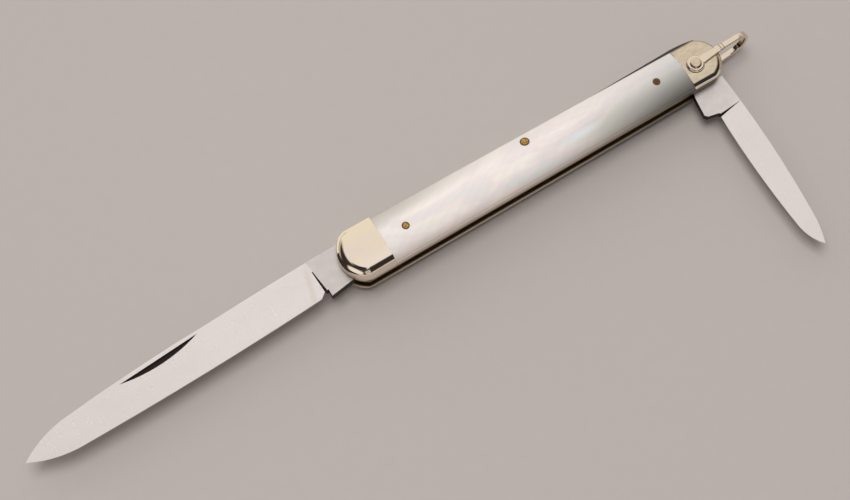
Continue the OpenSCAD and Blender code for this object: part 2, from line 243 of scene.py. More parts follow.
def closed(finish, inputs, relief=None, **settings):
    """The material with its shader and output; relief is a pattern, its strength and depth in mm."""
    tree = finish.node_tree
    if relief:
        pattern, strength, depth = relief
        inputs["Normal"] = add(tree, "Bump", {"Height": pattern}, Strength=strength,
                               Distance=depth * MM)
    shader = add(tree, "BsdfPrincipled", inputs, **settings)
    add(tree, "OutputMaterial", {"Surface": shader})
    return finish


def millimetres(tree, stretch=(1, 1, 1), turned=0):
    """Object coordinates in millimetres, stretched and turned about Z for a pattern."""
    place = add(tree, "TexCoord").outputs["Object"]
    return add(tree, "Mapping", {"Vector": place}, Scale=[s / MM for s in stretch],
               Rotation=(0, 0, math.radians(turned)))


# a pattern of fine grain, and the tone it gives between two colours
Grain = namedtuple("Grain", "pattern tone")


def grained(tree, dark, light, scale=1.0, detail=3.0, **placing):
    """A grain laid out in millimetres between a dark and a light colour."""
    pattern = add(tree, "TexNoise", {"Vector": millimetres(tree, **placing)}, Scale=scale,
                  Detail=detail)
    tone = add(tree, "Mix", {"Factor": pattern}, data_type="RGBA", A=dark, B=light)
    return Grain(pattern, tone)


def zone(tree, *limits):
    """How far a place lies inside all its limits, softly.

    A limit is what is measured, where it starts, where it is full, and its weight if not one."""
    inside = None
    for value, start, full, *weight in limits:
        step = add(tree, "MapRange", {"Value": value}, interpolation_type="SMOOTHSTEP",
                   From_Min=start, From_Max=full, To_Max=weight[0] if weight else 1.0)
        if inside:
            step = add(tree, "Math", {0: inside, 1: step}, operation="MULTIPLY")
        inside = step
    return inside


def layered(tree, tone, layers):
    """Lay colours over a tone, each by its own weight."""
    for weight, colour in layers:
        tone = add(tree, "Mix", {"Factor": weight, "A": tone, "B": colour}, data_type="RGBA")
    return tone


def rgba(colour, gain=1.0):
    """What a colour socket takes, from a linear colour or a hex code, made lighter or darker."""
    if isinstance(colour, str):
        colour = linear(colour)
    return [min(1.0, c * gain) for c in colour] + [1.0]


def ground_steel(colours, shade):
    """Carbon blade steel, ground and glazed: an even satin grey with the wheel's fine cross lines."""
    finish, tree = new_finish("ground_glazed_steel")
    # glazing lines 0.05 mm apart in the real blade are drawn about 0.2 mm apart so that they show
    lines = add(tree, "TexNoise", {"Vector": millimetres(tree, stretch=(5.0, 0.35, 5.0))},
                Scale=1.0, Detail=3.0)
    gloss = add(tree, "MapRange", {"Value": lines}, To_Min=0.24, To_Max=0.34)
    tone = grained(tree, rgba(colours.steel, 0.95 * shade), rgba(colours.steel, 1.04 * shade),
                   detail=2.0, stretch=(0.09, 0.2, 0.2)).tone
    # beside the main tang the wheel's run-out leaves a hollow 1 mm wide, and its different reflection
    # there is painted as a beige band
    x, y = add(tree, "SeparateXYZ", {"Vector": millimetres(tree, turned=14)}).outputs[:2]
    past_tang = add(tree, "Math", {0: x, 1: 11.35}, operation="ADD")
    away = add(tree, "Math", {0: past_tang}, operation="ABSOLUTE")
    polish = zone(tree, (away, 0.85, 0.0, 0.5), (y, 2.0, -1.5))
    tone = layered(tree, tone, [(polish, rgba("#D6CABC"))])
    # a ground face also scatters, so about a quarter of it acts as a matt surface
    return closed(finish, {"Base Color": tone, "Roughness": gloss}, (lines, 0.12, 0.004),
                  Metallic=0.75)


def tang_steel(colours, shade):
    """The tangs' steel, with file strokes across it: its tone is set darker and greyer than the
    ground blades'.
    """
    finish, tree = new_finish("filed_tang_steel")
    # file strokes across the tang, 0.25 mm apart so that they show
    strokes = add(tree, "TexNoise",
                  {"Vector": millimetres(tree, stretch=(4.0, 0.5, 4.0), turned=20)},
                  Scale=1.0, Detail=3.0)
    tone = grained(tree, rgba(colours.steel, 0.72 * shade), rgba(colours.steel, 0.94 * shade),
                   scale=0.6).tone
    return closed(finish, {"Base Color": tone}, (strokes, 0.2, 0.006), Metallic=0.75,
                  Roughness=0.36)


def nick_shadow():
    """Dark steel for the nail nicks, the plunge steps and the tangs' walls: painted shade and painted
    dark reflection in these recesses and walls, with forge scale on the unpolished nick floor.
    """
    finish, tree = new_finish("nick_dark_steel")
    tone = grained(tree, rgba("#1C1613"), rgba("#2E2622"), scale=3.0, detail=2.0).tone
    return closed(finish, {"Base Color": tone}, Metallic=0.7, Roughness=0.5)


def spring_steel(colours):
    """Hardened spring steel, glazed along its length and dulled by handling: a dark satin grey."""
    finish, tree = new_finish("hardened_spring_steel")
    # grinding lines along the bar, 0.25 mm apart so that they show
    lines = grained(tree, rgba(colours.spring_steel, 0.5), rgba(colours.spring_steel, 0.95),
                    stretch=(0.2, 4.0, 4.0))
    return closed(finish, {"Base Color": lines.tone}, (lines.pattern, 0.2, 0.01), Metallic=1.0,
                  Roughness=0.36)


def polished_nickel_silver(colours, handled=0.8):
    """Nickel silver, buffed to a mirror: warm, with faint mop waves and a little yellowing."""
    finish, tree = new_finish("buffed_nickel_silver")
    patches = add(tree, "TexNoise",
                  {"Vector": millimetres(tree, stretch=(0.35, 0.35, 0.35))}, Scale=1.0, Detail=2.0)
    gloss = add(tree, "MapRange", {"Value": patches}, To_Min=0.07, To_Max=0.14)
    # it yellows in clouds; along the spring side it is yellower still, a painted reflection of cream
    # light from over that side
    x, y = add(tree, "SeparateXYZ", {"Vector": millimetres(tree)}).outputs[:2]
    clouds = zone(tree, (patches, 0.35, 0.75, 0.8))
    far_side_reflection = zone(tree, (y, 0.8, 3.6, 0.9))
    yellowed = add(tree, "Math", {0: clouds, 1: far_side_reflection}, operation="MAXIMUM")
    # the near side made lighter toward its edge: a painted highlight
    near_side_highlight = zone(tree, (y, -0.6, -3.0, 0.25))
    # the bail end is handled more and has gone browner, and its near facet is painted lighter: a
    # painted highlight
    bail_end = add(tree, "MapRange", {"Value": x}, From_Min=60.0, From_Max=66.0, To_Max=handled)
    brown = grained(tree, rgba("#A99780"), rgba("#E4D5BC"), detail=4.0, stretch=(0.7, 1.6, 1.0),
                    turned=30).tone
    facet = zone(tree, (y, -3.2, -3.6))
    painted_facet_highlight = add(tree, "Math", {0: bail_end, 1: facet}, operation="MULTIPLY")
    tone = layered(tree, rgba(colours.nickel_silver),
                   [(yellowed, rgba(colours.yellowed_nickel)), (near_side_highlight, rgba("#F8EFE6")),
                    (bail_end, brown), (painted_facet_highlight, rgba("#FCF6EC"))])
    # mop waves about 1 mm long, far too shallow to feel
    waves = add(tree, "TexNoise", {"Vector": millimetres(tree, stretch=(0.8, 1.1, 0.8))},
                Scale=1.0, Detail=1.0)
    return closed(finish, {"Base Color": tone, "Roughness": gloss}, (waves, 0.25, 0.012),
                  Metallic=1.0)


def tarnished_nickel_silver():
    """Nickel silver on the bail bolsters' walls, which no buff reaches: browned by tarnish, and
    darker still as painted shade for the shaded table that the walls mirror.
    """
    finish, tree = new_finish("tarnished_nickel_silver")
    # stains about 1.5 mm long and half as high
    stains = grained(tree, rgba("#5A4C3E"), rgba("#9A8974"), detail=4.0, stretch=(0.6, 0.6, 1.6))
    return closed(finish, {"Base Color": stains.tone}, (stains.pattern, 0.15, 0.01),
                  Metallic=1.0, Roughness=0.28)


def brass_pin(colours):
    """Brass wire, headed and filed flush: dull gold with small dents."""
    finish, tree = new_finish("filed_brass")
    # dents about 0.3 mm across
    grain = add(tree, "TexNoise", {"Vector": millimetres(tree)}, Scale=3.5, Detail=3.0)
    spread = add(tree, "MapRange", {"Value": grain}, From_Min=0.35, From_Max=0.65)
    gold = add(tree, "Mix", {"Factor": spread}, data_type="RGBA",
               A=rgba(colours.brass, 0.38), B=rgba(colours.brass, 1.2))
    # the pin at the bail end has browned all over
    x = add(tree, "SeparateXYZ", {"Vector": millimetres(tree)}).outputs["X"]
    bail_end = add(tree, "MapRange", {"Value": x}, From_Min=45.0, From_Max=60.0, To_Max=0.94)
    tone = layered(tree, gold, [(bail_end, rgba("#5A443A"))])
    return closed(finish, {"Base Color": tone}, (grain, 0.7, 0.05), Metallic=1.0, Roughness=0.3)


def browned_brass(colours):
    """The same brass at the rim of a head, where polish residue has browned and dulled it."""
    finish, tree = new_finish("browned_brass")
    tone = grained(tree, rgba(colours.brass, 0.18), rgba(colours.brass, 0.38), scale=3.0,
                   detail=2.0).tone
    return closed(finish, {"Base Color": tone}, Metallic=0.8, Roughness=0.45)


def liner_brass():
    """Rolled brass sheet, filed on its edges: fine lines along the handle, its tone kept dark as
    painted shade under the scales' overhang.
    """
    finish, tree = new_finish("rolled_brass_sheet")
    # rolling lines 0.3 mm apart so that they show
    tone = grained(tree, rgba("#6E5A3E"), rgba("#B29A72"), detail=2.0, stretch=(0.3, 3.0, 6.0)).tone
    return closed(finish, {"Base Color": tone}, Metallic=1.0, Roughness=0.34)


def mother_of_pearl(colours):
    """White mother-of-pearl, polished: cloudy nacre with a warm, bright middle, its greyer ends a
    painted sheen and its darker bail end and edges painted shade.
    """
    finish, tree = new_finish("polished_mother_of_pearl")
    # clouds of nacre some 15 mm long and 4 mm wide
    clouds = add(tree, "TexNoise",
                 {"Vector": millimetres(tree, stretch=(0.07, 0.22, 0.2), turned=12)},
                 Scale=1.0, Detail=3.0, Distortion=0.6)
    hue = add(tree, "ValToRGB", {"Fac": clouds})
    # growth ripples about 0.9 mm apart, bent by the clouds
    ripples = add(tree, "TexWave",
                  {"Vector": millimetres(tree, stretch=(0.12, 0.5, 0.5), turned=20)},
                  Scale=1.0, Distortion=7.0, Detail=2.0, Detail_Scale=0.6).outputs["Fac"]
    faint = add(tree, "MapRange", {"Value": ripples}, To_Min=0.0, To_Max=0.06)
    # toward both ends of the scale the nacre is painted greyer: a painted sheen
    x, y = add(tree, "SeparateXYZ", {"Vector": millimetres(tree)}).outputs[:2]
    span = add(tree, "MapRange", {"Value": x}, From_Min=JOINT_MAIN_X, From_Max=JOINT_BAIL_X)
    grey = add(tree, "ValToRGB", {"Fac": span})
    ramps = ((hue, ((0.3, rgba("#E6E5E2")), (0.72, rgba("#EFEBDC")), (0.5, rgba(colours.pearl)),
                    (0.42, rgba("#F4E6E3")))),
             (grey, ((0.0, (0.2, 0.2, 0.2, 1)), (1.0, (0.5, 0.5, 0.5, 1)),
                     (0.16, (0.05, 0.05, 0.05, 1)), (0.62, (0.05, 0.05, 0.05, 1)))))
    for node, stops in ramps:
        elements = node.color_ramp.elements
        for element, (position, colour) in zip(elements, stops[:2]):
            element.position = position
            element.color = colour
        for position, colour in stops[2:]:
            elements.new(position).color = colour
    # a darker part at the bail end, deepest toward the near edge: painted shade and painted dark
    # reflection
    bail_end = zone(tree, (x, 30.0, 70.0))
    near_edge = add(tree, "MapRange", {"Value": y}, interpolation_type="SMOOTHSTEP",
                    From_Min=3.5, From_Max=-4.5, To_Min=0.06, To_Max=1.0)
    painted_edge_shade = add(tree, "Math", {0: bail_end, 1: near_edge}, operation="MULTIPLY")
    corner = add(tree, "VectorMath",
                 {0: millimetres(tree, stretch=(0.05, 0.36, 0)), 1: (0.2, 1.85, 0)},
                 operation="DISTANCE")
    flame = add(tree, "VectorMath",
                {0: millimetres(tree, stretch=(0.16, 0.75, 0), turned=18), 1: (6.9, 1.35, 0)},
                operation="DISTANCE")
    rind = add(tree, "Mix", {"Factor": bail_end}, data_type="RGBA",
               A=rgba("#CDB59C"), B=rgba("#57534A"))
    nacre = layered(tree, hue, [
        (faint, rgba(colours.pearl_grey)),
        (grey, rgba(colours.pearl_grey)),
        (painted_edge_shade, rgba("#68655F")),
        # a grey zone along the main bolster's upper corner
        (zone(tree, (corner, 1.4, 0.1, 0.95)), rgba("#A39B94")),
        # a blue-white flame across the near half past the middle pin
        (zone(tree, (flame, 1.0, 0.0, 0.7)), rgba("#E3EBEE")),
        # the tan layer next to the shell's skin, which turns dark grey toward the bail end as painted
        # shade
        (zone(tree, (y, -2.8, -4.9, 0.5)), rind),
        # the far edge darker: painted shade
        (zone(tree, (y, 1.4, 3.9, 0.45)), rgba("#D9D0C7"))])
    # the stacked platelets mirror light from under the surface, so part of it acts as metal
    return closed(finish, {"Base Color": nacre}, (ripples, 0.15, 0.01), Metallic=0.4,
                  Roughness=0.42, IOR=1.53, Coat_Weight=0.25, Coat_Roughness=0.16,
                  Sheen_Weight=0.12, Sheen_Roughness=0.4)


def table_paper(colours):
    """Matt paper under the knife: pale, warm and without gloss."""
    finish, tree = new_finish("matt_paper")
    tone = grained(tree, rgba(colours.table, 0.98), rgba(colours.table, 1.02), scale=0.5,
                   detail=4.0).tone
    return closed(finish, {"Base Color": tone}, Roughness=0.9, Specular_IOR_Level=0.1)


# building and finishing meshes

def made(result, kind, key="geom"):
    """What of one kind a bmesh operator made."""
    return [item for item in result[key] if isinstance(item, kind)]


def shift(bm, by, verts=None):
    bmesh.ops.translate(bm, vec=by, verts=verts or bm.verts[:])


def resize(bm, by, verts=None):
    bmesh.ops.scale(bm, vec=by, verts=verts or bm.verts[:])


def turn(bm, degrees, axis="Z"):
    bmesh.ops.rotate(bm, cent=(0, 0, 0), verts=bm.verts[:],
                     matrix=Matrix.Rotation(math.radians(degrees), 3, axis))


def cut(bm, faces, point, normal):
    """Cut faces along a plane."""
    verts = {v for f in faces for v in f.verts}
    edges = {e for f in faces for e in f.edges}
    bmesh.ops.bisect_plane(bm, geom=faces + list(verts) + list(edges), plane_co=point,
                           plane_no=normal)


def top_face(bm):
    return max(bm.faces, key=lambda f: f.calc_center_median().z)


def outward(bm):
    bmesh.ops.recalc_face_normals(bm, faces=bm.faces[:])


def ease_edges(bm, edges, width, segments, clamp=True):
    """Take a width off edges: one segment leaves a facet, and more leave a round."""
    bmesh.ops.bevel(bm, geom=edges, offset=width, offset_type="OFFSET", segments=segments,
                    profile=0.5, affect="EDGES", clamp_overlap=clamp, material=-1)


def trace(bm, start, moves, axis=(0, 0, 1)):
    """Draw an outline: a move is a point to go to, or (centre, degrees, steps) of an arc."""
    tip = bm.verts.new(start)
    for move in moves:
        if len(move) == 3 and hasattr(move[0], "__len__"):
            centre, degrees, steps = move
            result = bmesh.ops.spin(bm, geom=[tip], cent=centre, axis=axis,
                                    angle=math.radians(degrees), steps=steps)
            tip = made(result, VERT, "geom_last")[0]
        else:
            tip = bmesh.ops.extrude_vert_indiv(bm, verts=[tip])["verts"][0]
            tip.co = Vector(move)
    bmesh.ops.remove_doubles(bm, verts=bm.verts, dist=1e-4)


def raise_slab(bm, height):
    """Fill the outline and pull it up into a closed slab; gives the edges of its top."""
    floor = bmesh.ops.contextual_create(bm, geom=bm.edges[:])["faces"]
    top = made(bmesh.ops.extrude_face_region(bm, geom=floor), VERT)
    shift(bm, (0, 0, height), top)
    outward(bm)
    return [e for e in bm.edges if all(v in top for v in e.verts)]


def as_mesh(bm, name):
    mesh = bpy.data.meshes.new(name)
    bm.to_mesh(mesh)
    bm.free()
    return mesh


def set_down(name, data):
    """An object with its data, in the scene."""
    thing = bpy.data.objects.new(name, data)
    bpy.context.scene.collection.objects.link(thing)
    return thing


def finish_piece(bm, name, body, finishes, node, sharp=35):
    """Turn a bmesh in millimetres into a shaded piece that rides on its body."""
    resize(bm, (MM, MM, MM))
    for face in bm.faces:
        face.smooth = True
    mesh = as_mesh(bm, name)
    mesh.set_sharp_from_angle(angle=math.radians(sharp))
    for finish in finishes:
        mesh.materials.append(finish)
    piece = set_down(name, mesh)
    even = piece.modifiers.new("even_shading", "WEIGHTED_NORMAL")
    even.keep_sharp = True
    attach(piece, body)
    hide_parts(node)


def merged_copy(node):
    """A copy of a node in millimetres, its triangles merged into whole faces."""
    bm = bmesh.new()
    bm.from_mesh(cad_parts[node].data)
    resize(bm, (1 / MM, 1 / MM, 1 / MM))
    bmesh.ops.remove_doubles(bm, verts=bm.verts[:], dist=2e-4)
    bmesh.ops.dissolve_limit(bm, angle_limit=math.radians(0.1), verts=bm.verts[:],
                             edges=bm.edges[:])
    return bm


def corners_over(bm, degrees):
    """The edges where two faces meet at more than an angle."""
    return [e for e in bm.edges
            if len(e.link_faces) == 2 and e.calc_face_angle(0) > math.radians(degrees)]


def merge_into(bm, part):
    """Add another bmesh's shell to this one."""
    mesh = as_mesh(part, "part")
    bm.from_mesh(mesh)
    bpy.data.meshes.remove(mesh)


def on_pile_side(bm, middle=MID_Z):
    """Mirror what was built for the mark side over the middle plane."""
    resize(bm, (1, 1, -1))
    shift(bm, (0, 0, 2 * middle))
    outward(bm)


# the pieces of the knife, then the stage

class KNIFE_OT_blades(bpy.types.Operator):
    """Grind and glaze the main blade and the pen blade"""

    bl_idname = "knife.blades"
    bl_label = "Blades"

    def execute(self, context):
        colours = context.scene.knife_colours
        ease = context.scene.knife_sizes.blade_ease / MM
        shadow = nick_shadow()
        for node, blade in BLADES.items():
            bm = merged_copy(node)
            shift(bm, -blade.pivot)
            turn(bm, -blade.heading)
            reach = max(v.co.x for v in bm.verts)
            nick = [share * reach for share in blade.nick]
            # the nick's straight edge lies close under the back
            for vert in bm.verts:
                if blade.nick_edge[0] < vert.co.x < blade.nick_edge[1] \
                        and vert.co.y * blade.back > NICK_EDGE_Y:
                    vert.co.y += NICK_LIFT * blade.back
            self.plunge(bm, blade)
            self.ease_corners(bm, blade, nick, ease)
            self.paint(bm, blade, nick)
            turn(bm, blade.heading)
            shift(bm, blade.pivot)
            finish_piece(bm, "ground_" + node, node,
                         [ground_steel(colours, blade.ground), tang_steel(colours, blade.filed),
                          shadow], node, sharp=25)
        return {"FINISHED"}

    def plunge(self, bm, blade):
        """Run the ground flats out into the tang over a slope that widens toward the edge."""
        start, end = blade.tang - 0.1, blade.tang + STEP_RUN
        for side in (1, -1):
            face_z = max(v.co.z * side for v in bm.verts)
            crest = [v.co.xy for v in bm.verts if v.co.z * side > face_z - 0.01]
            for vert in bm.verts:
                drop = face_z - vert.co.z * side
                if start < vert.co.x < end and TOUCH < drop < STEP_DEEPEST \
                        and any((vert.co.xy - c).length < TOUCH for c in crest):
                    if vert.co.y * blade.back < 0.5:
                        vert.co.x += blade.plunge
                    elif blade.dies_out:
                        vert.co.z = side * (face_z - STEP_LEFT)
        near = [f for f in bm.faces if start < f.calc_center_median().x < end]
        cut(bm, near, (0, blade.fade * blade.back, 0), (0, 1, 0))

    def nick_limit(self, bm, blade):
        """How near to the back the nick can reach."""
        return max(v.co.y * blade.back for v in bm.verts) - NICK_BELOW_BACK

    def ease_corners(self, bm, blade, nick, ease):
        """Polish a little off the corners of the back and the tang, but not the cutting edge."""
        limit = self.nick_limit(bm, blade)
        corners = []
        for edge in corners_over(bm, 35):
            middle = (edge.verts[0].co + edge.verts[1].co) / 2
            height = middle.y * blade.back
            on_edge = middle.x > blade.tang - 0.3 and height < 0.3
            in_nick = nick[0] < middle.x < nick[1] and height < limit
            if not on_edge and not in_nick:
                corners.append(edge)
        ease_edges(bm, corners, ease, 2)

    def paint(self, bm, blade, nick):
        """Give the tang's faces their finish, and paint shade on the step, the tang's walls and the
        nick.
        """
        limit = self.nick_limit(bm, blade)
        for face in bm.faces:
            centre, tilt = face.calc_center_median(), face.normal.z
            height = centre.y * blade.back
            if abs(tilt) < 0.985 and centre.x < blade.tang + 1.1 and height < blade.fade \
                    and (abs(tilt) < 0.6 or centre.x > blade.tang):
                face.material_index = IN_SHADOW
            elif centre.x < blade.tang + 0.1:
                face.material_index = ON_TANG
            elif nick[0] < centre.x < nick[1] and 0.4 < height < limit \
                    and face.calc_area() < NICK_AREA and tilt * blade.nick_face > -0.3:
                face.material_index = IN_SHADOW


# one end's pair of bolsters: its round end and the shoulders into it, its levels, the joint with the
# scale and which way it points from there, its facet with how deep that is on the near and the far
# side, the roll along its top, where its crown is highest, and its metals
End = namedtuple("End", "name centre radius shoulder low high joint_x way facet near far roll "
                        "crown_x metals")


class KNIFE_OT_bolsters(bpy.types.Operator):
    """Facet, roll and buff the four bolsters"""

    bl_idname = "knife.bolsters"
    bl_label = "Bolsters"

    def execute(self, context):
        sizes = context.scene.knife_sizes
        buffed = polished_nickel_silver(context.scene.knife_colours)
        main_end = End(name="main", centre=Vector((0, 0, 0)), radius=-MAIN_LOW.x,
                       shoulder=sizes.main_shoulder / MM, low=MAIN_LOW.z, high=MAIN_HIGH.z,
                       joint_x=JOINT_MAIN_X, way=-1, facet=sizes.main_facet / MM, near=1.6,
                       far=0.57, roll=sizes.bolster_roll / MM, crown_x=0.0, metals=[buffed])
        bail_end = End(name="bail", centre=Vector((BAIL_HIGH.x - BAIL_END_R, BAIL_END_Y, 0)),
                       radius=BAIL_END_R, shoulder=sizes.bail_shoulder / MM, low=BAIL_LOW.z,
                       high=BAIL_HIGH.z, joint_x=JOINT_BAIL_X, way=1,
                       facet=sizes.bail_facet / MM, near=1.3, far=1.1,
                       roll=sizes.bail_roll / MM, crown_x=PEN_X,
                       metals=[buffed, tarnished_nickel_silver()])
        for end in (main_end, bail_end):
            for side in ("mark", "pile"):
                bm = bmesh.new()
                self.outline(bm, end)
                self.facet_top(bm, end)
                shift(bm, (0, 0, end.low))
                if side == "pile":
                    on_pile_side(bm)
                # the bail bolsters' walls take the tarnished metal, darkened further as painted shade
                if end.name == "bail":
                    for face in bm.faces:
                        face.material_index = int(abs(face.normal.z) < 0.3)
                finish_piece(bm, f"buffed_{end.name}_bolster_{side}", "handle",
                             end.metals, f"{end.name}_bolster_{side}")
        return {"FINISHED"}

    def outline(self, bm, end):
        """Straight sides from the joint, a round end, and a shoulder where they would meet."""
        start = -end.way
        moves, heading = [], start * 90
        for side in (start, -start):
            rise = side * (side_y(end.centre.x) - end.shoulder) - end.centre.y
            run = end.way * math.sqrt((end.radius - end.shoulder) ** 2 - rise ** 2)
            middle = end.centre + Vector((run, rise, 0))
            lean = math.degrees(math.atan2(rise, run))
            if side == start:
                moves.append(tuple(middle + Vector((0, side * end.shoulder, 0))))
                moves.append((tuple(middle), (lean - heading) % 360, 12))
                heading = lean
            else:
                moves.append((tuple(end.centre), (lean - heading) % 360, 36))
                moves.append((tuple(middle), (side * 90 - lean) % 360, 12))
        half = side_y(end.joint_x)
        moves += [(end.joint_x, -start * half, 0), (end.joint_x, start * half, 0)]
        trace(bm, (end.joint_x, start * half, 0), moves)

    def facet_top(self, bm, end):
        """Grind a facet round the top, near deep on the edge side and far deep at the spring."""
        level = end.high - end.low - BOLSTER_CROWN
        rim = raise_slab(bm, level)

        def away(edges):
            return [e for e in edges if any(abs(v.co.x - end.joint_x) > 1e-3 for v in e.verts)]

        ease_edges(bm, away(rim), end.facet, 1, clamp=False)
        half = max(v.co.y for v in bm.verts)
        near, far = end.facet * end.near, end.facet * end.far
        lower = [v for v in bm.verts if abs(v.co.z - level + end.facet) < 1e-3]
        for vert in lower:
            share = min(1, max(0, (1 - vert.co.y / half) / 2))
            vert.co.z = level - far - (near - far) * share ** 2.2
        lower_edges = [e for e in bm.edges if all(v in lower for v in e.verts)]
        ease_edges(bm, away(top_face(bm).edges), end.roll, 12, clamp=False)
        ease_edges(bm, [e for e in lower_edges if e.is_valid], FACET_CORNER, 3, clamp=False)
        self.crown_top(bm, end, level, half - end.facet - end.roll)
        outward(bm)

    def crown_top(self, bm, end, level, reach):
        """Cut the flat top across and raise it to a slight crown that dies out at its edges."""
        steps = 6
        crest = Vector((end.crown_x, 0, 0))
        for axis in ((1, 0, 0), (0, 1, 0)):
            for i in range(-steps + 1, steps):
                flat = [f for f in bm.faces if all(abs(v.co.z - level) < 1e-4 for v in f.verts)]
                cut(bm, flat, Vector(axis) * reach * i / steps + crest, axis)
        for vert in bm.verts:
            if abs(vert.co.z - level) < 1e-4:
                run = (vert.co.x - end.crown_x) * end.way
                away = math.hypot(vert.co.y, max(0, run))
                vert.co.z += BOLSTER_CROWN * max(0, 1 - (away / reach) ** 2)


class KNIFE_OT_scales(bpy.types.Operator):
    """Crown and polish the two mother-of-pearl scales"""

    bl_idname = "knife.scales"
    bl_label = "Scales"

    def execute(self, context):
        sizes = context.scene.knife_sizes
        pearl = mother_of_pearl(context.scene.knife_colours)
        for side in ("mark", "pile"):
            bm = self.crowned(sizes.scale_roll / MM, sizes.scale_crown / MM)
            if side == "pile":
                on_pile_side(bm)
            finish_piece(bm, "crowned_scale_" + side, "handle", [pearl],
                         side + "_scale", sharp=50)
        return {"FINISHED"}

    def crowned(self, roll, crown):
        """One scale: its section drawn at the main joint and tapered to the bail joint."""
        x, half = JOINT_MAIN_X, side_y(JOINT_MAIN_X)
        low, high = SCALE_LOW.z, SCALE_HIGH.z
        lean = math.asin((half - roll) / (crown - roll))
        roll_z = high - crown + (crown - roll) * math.cos(lean)
        rolled = 90 - math.degrees(lean)
        bm = bmesh.new()
        trace(bm, (x, half, low),
              [(x, half, roll_z), ((x, half - roll, roll_z), rolled, 10),
               ((x, 0, high - crown), 2 * math.degrees(lean), 24),
               ((x, -half + roll, roll_z), rolled, 10),
               (x, -half, low), (x, half, low)], axis=(1, 0, 0))
        ring = bm.edges[:]
        bmesh.ops.contextual_create(bm, geom=ring)
        far = made(bmesh.ops.extrude_edge_only(bm, edges=ring), VERT)
        shift(bm, (JOINT_BAIL_X - x, 0, 0), far)
        resize(bm, (1, side_y(JOINT_BAIL_X) / half, 1), far)
        bmesh.ops.contextual_create(
            bm, geom=[e for e in bm.edges if all(v in far for v in e.verts)])
        outward(bm)
        # the ends are eased, so that a fine groove parts them from the bolsters
        ends = [e for e in bm.edges if abs(e.verts[0].co.x - e.verts[1].co.x) < 1e-4]
        ease_edges(bm, ends, 0.1, 2, clamp=False)
        return bm


class KNIFE_OT_spring_and_liners(bpy.types.Operator):
    """Ease the back spring and finish the liners' edges"""

    bl_idname = "knife.spring_and_liners"
    bl_label = "Spring And Liners"

    def execute(self, context):
        bm = merged_copy("backspring")
        ease_edges(bm, corners_over(bm, 25), context.scene.knife_sizes.spring_ease / MM, 2)
        bmesh.ops.remove_doubles(bm, verts=bm.verts[:], dist=1e-4)
        finish_piece(bm, "glazed_spring", "handle",
                     [spring_steel(context.scene.knife_colours)], "backspring", sharp=25)
        sheet = liner_brass()
        for node in ("mark_liner", "pile_liner"):
            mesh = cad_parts[node].data
            mesh.materials.clear()
            mesh.materials.append(sheet)
        return {"FINISHED"}


class KNIFE_OT_pins(bpy.types.Operator):
    """Head the brass pins and the two pivot pins"""

    bl_idname = "knife.pins"
    bl_label = "Pins"

    def execute(self, context):
        colours = context.scene.knife_colours
        brass = [brass_pin(colours), browned_brass(colours)]
        nickel = polished_nickel_silver(colours)
        crown = context.scene.knife_sizes.scale_crown / MM
        low, high = corners_of("centre_pin")
        self.headed_pins("centre_pin", crown, [(low + high) / 2], (high.x - low.x) / 2, brass, True)
        low, high = corners_of("scale_pins")
        radius = (high.y - low.y - SCALE_PIN_STEP) / 2
        inset = Vector((radius, radius, 0))
        self.headed_pins("scale_pins", crown, [low + inset, high - inset], radius, brass, False)
        bm = bmesh.new()
        head_h = MID_Z - EYE_LOW - EYE_T - EYE_GAP
        self.disc(bm, RIVET_R, MID_Z - head_h, head_h, slope=0.26)
        on_pile_side(bm)
        self.disc(bm, RIVET_R, 2 * MID_Z - head_h, head_h, slope=0.26)
        self.disc(bm, PIVOT_R, FLUSH, 2 * (MID_Z - FLUSH))
        shift(bm, (PEN_X, PEN_Y, 0))
        finish_piece(bm, "riveted_pen_pivot", "handle", [nickel], "pen_pivot_pin")
        bm = bmesh.new()
        self.disc(bm, PIVOT_R, FLUSH, 2 * (MID_Z - FLUSH))
        finish_piece(bm, "flush_main_pivot", "handle", [nickel], "main_pivot_pin")
        return {"FINISHED"}

    def headed_pins(self, node, crown, places, radius, finishes, through):
        """Pins through both scales, their heads hammered square to the crown and filed."""
        bm = bmesh.new()
        for place in places:
            lean = math.asin(place.y / crown)
            top = SCALE_HIGH.z - crown + crown * math.cos(lean) - MID_Z
            for side in (1, -1):
                head = bmesh.new()
                self.disc(head, radius, -HEAD_SUNK, HEAD_H, round_off=0.12)
                crown_face = top_face(head)
                for inset, rise in ((0.13, 0.0), (0.06, 0.02)):
                    bmesh.ops.inset_region(head, faces=[crown_face], thickness=inset,
                                           depth=rise)
                turn(head, -math.degrees(lean), "X")
                shift(head, (place.x, place.y, top))
                if side < 0:
                    on_pile_side(head, middle=0)
                merge_into(bm, head)
            shank = bmesh.new()
            end = top - SHANK_BITE
            if through:
                self.disc(shank, SHANK_R, -end, 2 * end)
            else:
                self.disc(shank, SHANK_R, WELL_HALF, end - WELL_HALF)
                self.disc(shank, SHANK_R, -end, end - WELL_HALF)
            shift(shank, (place.x, place.y, 0))
            merge_into(bm, shank)
        shift(bm, (0, 0, MID_Z))
        # the outer 0.2 mm of a head is the browned rim
        for face in bm.faces:
            away = min(max((v.co.xy - place.xy).length for v in face.verts) for place in places)
            face.material_index = int(away > radius - 0.2)
        finish_piece(bm, "headed_" + node, "handle", finishes, node)

    def disc(self, bm, radius, low, height, round_off=0, slope=0):
        """Add a round bar standing on z = low, its top corner rounded off or sloped."""
        part = bmesh.new()
        bmesh.ops.create_circle(part, radius=radius, segments=64)
        rim = raise_slab(part, height)
        if slope:
            # the slope falls two thirds of the height
            fall = height * 2 / 3
            shift(part, (0, 0, -fall), list({v for e in rim for v in e.verts}))
            face = top_face(part)
            bmesh.ops.inset_region(part, faces=[face], thickness=slope, depth=fall)
            ease_edges(part, face.edges[:], 0.08, 3)
        elif round_off:
            ease_edges(part, rim, round_off, 7)
        shift(part, (0, 0, low))
        merge_into(bm, part)


